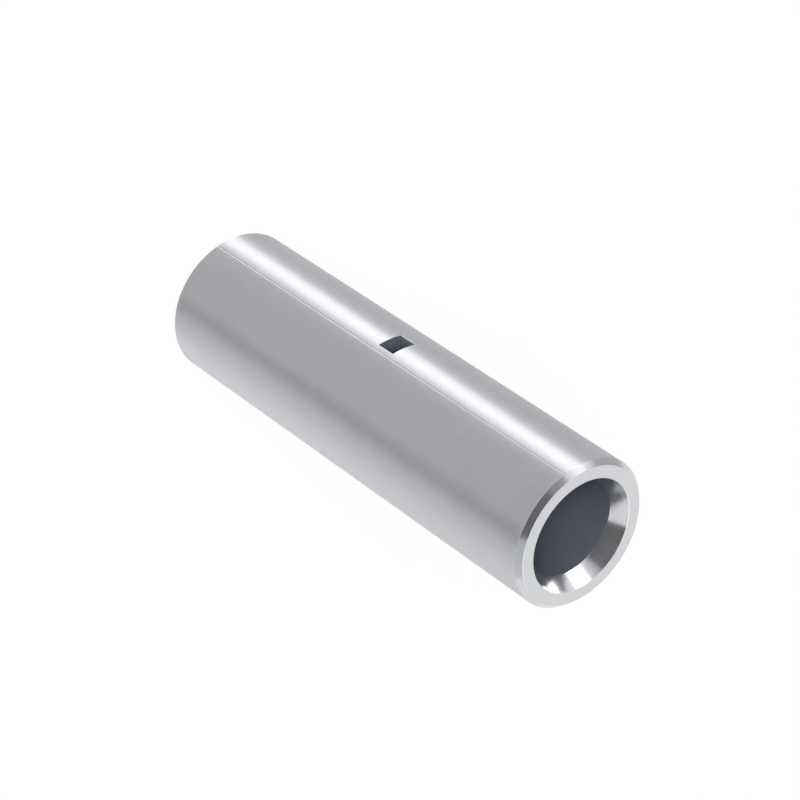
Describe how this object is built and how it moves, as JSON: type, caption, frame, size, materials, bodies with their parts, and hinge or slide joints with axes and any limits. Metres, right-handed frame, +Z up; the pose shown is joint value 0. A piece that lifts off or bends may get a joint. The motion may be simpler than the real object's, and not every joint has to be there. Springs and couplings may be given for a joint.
{
  "type": "butt splice connector",
  "caption": "Short, thick-walled metal sleeve that joins two wires end to end: open bore with funnel entries, bevelled ends, a seam line and a small inspection window at mid-length.",
  "frame": {"origin": "centre of the end that the sleeve stands on, on the bore's axis", "axes": "+Z up along the bore, -Y towards the side that the inspection window faces, +X to the right of it"},
  "size_m": [0.0054, 0.0054, 0.0191],
  "materials": {
    "tinned_copper": "satin"
  },
  "bodies": {
    "root": {"splice_barrel": "tinned_copper"}
  },
  "joints": []
}
